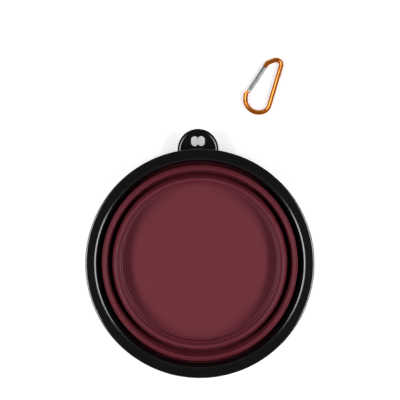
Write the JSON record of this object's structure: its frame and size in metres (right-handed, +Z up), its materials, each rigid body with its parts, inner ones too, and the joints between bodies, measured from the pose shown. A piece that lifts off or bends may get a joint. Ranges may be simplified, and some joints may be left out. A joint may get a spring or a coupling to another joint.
{
  "type": "collapsible bowl",
  "caption": "Round silicone bowl that folds flat in two steps, with a stiff rim, a side tab with a hanging hole, and a snap hook with a sprung gate.",
  "frame": {"origin": "on the bowl's axis, on the surface that its base rests on", "axes": "+Z up along the bowl's axis, +Y from the axis towards the hanging tab, +X to the right"},
  "size_m": [0.18, 0.2538, 0.018],
  "materials": {
    "silicone": "matt moulded silicone, dark wine red",
    "silicone_fold": "matt moulded silicone, thin at the folds",
    "rim_plastic": "black moulded plastic with a satin face",
    "anodised_rod": "orange anodised, satin gloss",
    "gate_metal": "bare drawn tube, satin",
    "pin_metal": "bare steel wire and rivet"
  },
  "bodies": {
    "base": {"base_panel": "silicone", "lower_band": "silicone", "lower_fold": "silicone_fold"},
    "middle": {"middle_band": "silicone", "upper_fold": "silicone_fold"},
    "rim": {"rim_ring": "rim_plastic", "hanging_tab": "rim_plastic", "silicone_collar": "silicone"},
    "hook": {"hook_frame": "anodised_rod"},
    "gate": {"hook_gate": "gate_metal", "gate_rivet": "pin_metal", "latch_pin": "pin_metal", "gate_spring": "pin_metal", "spring_plunger": "pin_metal"}
  },
  "joints": [
    {"name": "lower_opening", "type": "slide", "parent": "base", "child": "middle", "axis": [0, 0, 1], "range_m": [0, 0.0218], "deforming": ["lower_fold"]},
    {"name": "upper_opening", "type": "slide", "parent": "middle", "child": "rim", "axis": [0, 0, 1], "range_m": [0, 0.0234], "deforming": ["upper_fold"]},
    {"name": "hook_lift", "type": "slide", "parent": "base", "child": "hook", "axis": [0, 0, 1], "range_m": [0, 0.06]},
    {"name": "gate_pivot", "type": "hinge", "parent": "hook", "child": "gate", "pos_m": [0.04186, 0.13744, 0.0019], "axis": [0, 0, 1], "range_deg": [-24, 0], "stiffness_Nm_per_rad": 0.03, "springref_deg": 20.05}
  ]
}
